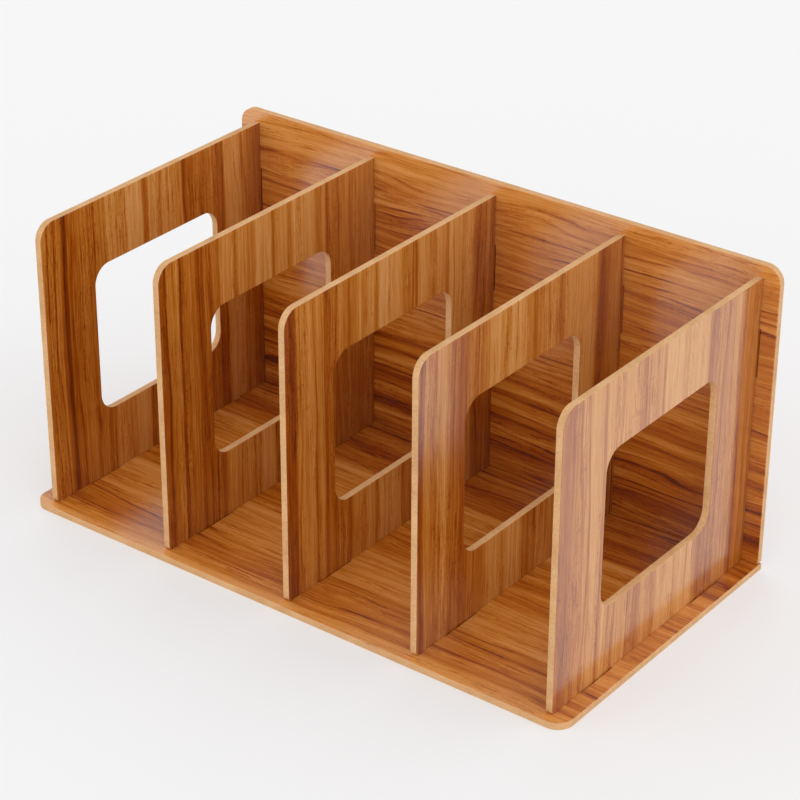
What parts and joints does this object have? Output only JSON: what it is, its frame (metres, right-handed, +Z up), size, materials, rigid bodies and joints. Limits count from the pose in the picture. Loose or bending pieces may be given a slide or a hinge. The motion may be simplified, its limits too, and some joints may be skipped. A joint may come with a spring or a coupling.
{
  "type": "magazine file holder",
  "caption": "Desktop magazine file holder of slotted wood-grained boards: a base and a back with upright windowed dividers that form open compartments.",
  "frame": {"origin": "middle of the footprint, on the underside of the base board, which is the surface that the holder stands on", "axes": "+X along the back towards the right-hand end as seen from the open front, +Y from the open front towards the back board, +Z up"},
  "size_m": [0.45, 0.24, 0.227],
  "materials": {
    "foil_board_horizontal_grain": "satin teak-grained foil on both faces, grain along the board's length, bare tan core on its edges",
    "foil_board_vertical_grain": "satin teak-grained foil on both faces, grain upright, bare tan core on its edges"
  },
  "bodies": {
    "root": {"base_panel": "foil_board_horizontal_grain", "back_panel": "foil_board_horizontal_grain", "left_end_panel": "foil_board_vertical_grain", "left_divider": "foil_board_vertical_grain", "middle_divider": "foil_board_vertical_grain", "right_divider": "foil_board_vertical_grain", "right_end_panel": "foil_board_vertical_grain"}
  },
  "joints": []
}
